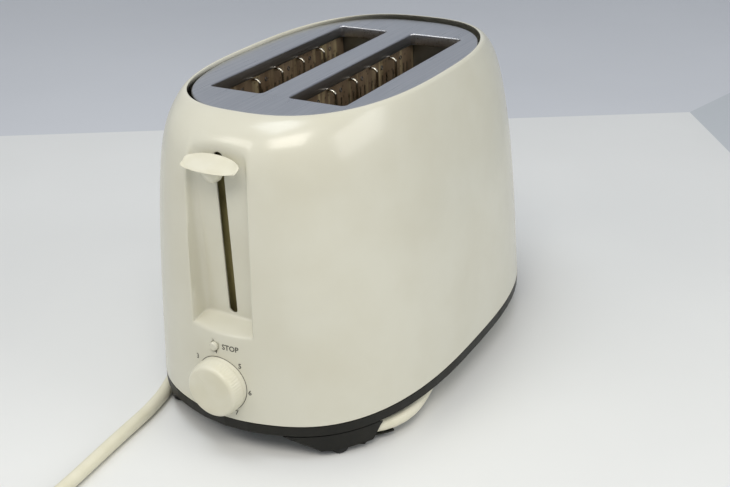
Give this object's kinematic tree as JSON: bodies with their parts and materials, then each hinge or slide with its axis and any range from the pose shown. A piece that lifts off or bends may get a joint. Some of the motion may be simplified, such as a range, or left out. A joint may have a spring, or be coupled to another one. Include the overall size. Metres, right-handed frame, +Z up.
{
  "type": "pop up toaster",
  "caption": "Cream pop up toaster with long bread slots, a pressed-down lever, a browning dial, a stop button, a crumb tray and a mains lead wound under the base.",
  "frame": {"origin": "on the floor, under the middle of the toaster without its lead", "axes": "+Z up, +Y towards the rear, away from the lever, so the bread slots run along Y; +X to the right seen from the lever end"},
  "size_m": [0.1782, 0.4434, 0.1784],
  "materials": {
    "cream_plastic": "gloss",
    "dark_plastic": "satin",
    "stainless": "brushed",
    "zinc_sheet": "satin",
    "mica": "matte",
    "guard_wire": "satin",
    "rubber": "matte",
    "iron": "satin",
    "copper_wire": "gloss",
    "circuit_board": "satin",
    "black_plastic": "satin",
    "cream_vinyl": "satin"
  },
  "bodies": {
    "housing": {"base_pan": "dark_plastic", "base_screw_1": "zinc_sheet", "base_screw_2": "zinc_sheet", "base_screw_3": "zinc_sheet", "base_screw_4": "zinc_sheet", "bread_guard_left_inner": "guard_wire", "bread_guard_left_outer": "guard_wire", "bread_guard_right_inner": "guard_wire", "bread_guard_right_outer": "guard_wire", "browning_control": "zinc_sheet", "carriage_spring": "zinc_sheet", "control_board": "circuit_board", "cord_strain_relief": "dark_plastic", "foot_front_left": "rubber", "foot_front_right": "rubber", "foot_rear_left": "rubber", "foot_rear_right": "rubber", "front_end_plate": "zinc_sheet", "guide_rod": "stainless", "housing_shell": "cream_plastic", "lead_coil": "cream_vinyl", "lead_tail": "cream_vinyl", "left_side_panel": "zinc_sheet", "magnet_coil": "copper_wire", "magnet_core": "iron", "mains_lead": "cream_vinyl", "mains_plug": "cream_vinyl", "mains_switch": "black_plastic", "mica_board_left_inner": "mica", "mica_board_left_outer": "mica", "mica_board_right_inner": "mica", "mica_board_right_outer": "mica", "rear_end_plate": "zinc_sheet", "right_side_panel": "zinc_sheet", "stop_switch": "black_plastic", "terminal_block": "black_plastic", "top_plate": "stainless"},
    "carriage": {"carriage_bracket": "zinc_sheet", "lever_knob": "cream_plastic", "left_bread_rack": "zinc_sheet", "right_bread_rack": "zinc_sheet", "armature_plate": "iron"},
    "dial": {"browning_knob": "cream_plastic"},
    "button": {"stop_button": "cream_plastic"},
    "tray": {"crumb_tray": "stainless", "crumb_tray_handle": "dark_plastic"}
  },
  "joints": [
    {"name": "lever_slide", "type": "slide", "parent": "housing", "child": "carriage", "axis": [0, 0, -1], "range_m": [0, 0.07], "stiffness_N_per_m": 100, "springref_m": -0.04, "deforming": ["carriage_spring"]},
    {"name": "browning_knob_turn", "type": "hinge", "parent": "housing", "child": "dial", "pos_m": [-0.001, -0.12835, 0.0401], "axis": [0, -1, 0], "range_deg": [-150, 150]},
    {"name": "stop_button_press", "type": "slide", "parent": "housing", "child": "button", "axis": [0, 1, 0], "range_m": [0, 0.0015], "stiffness_N_per_m": 500, "springref_m": -0.002},
    {"name": "crumb_tray_slide", "type": "slide", "parent": "housing", "child": "tray", "axis": [0, 1, 0], "range_m": [0, 0.18]}
  ]
}
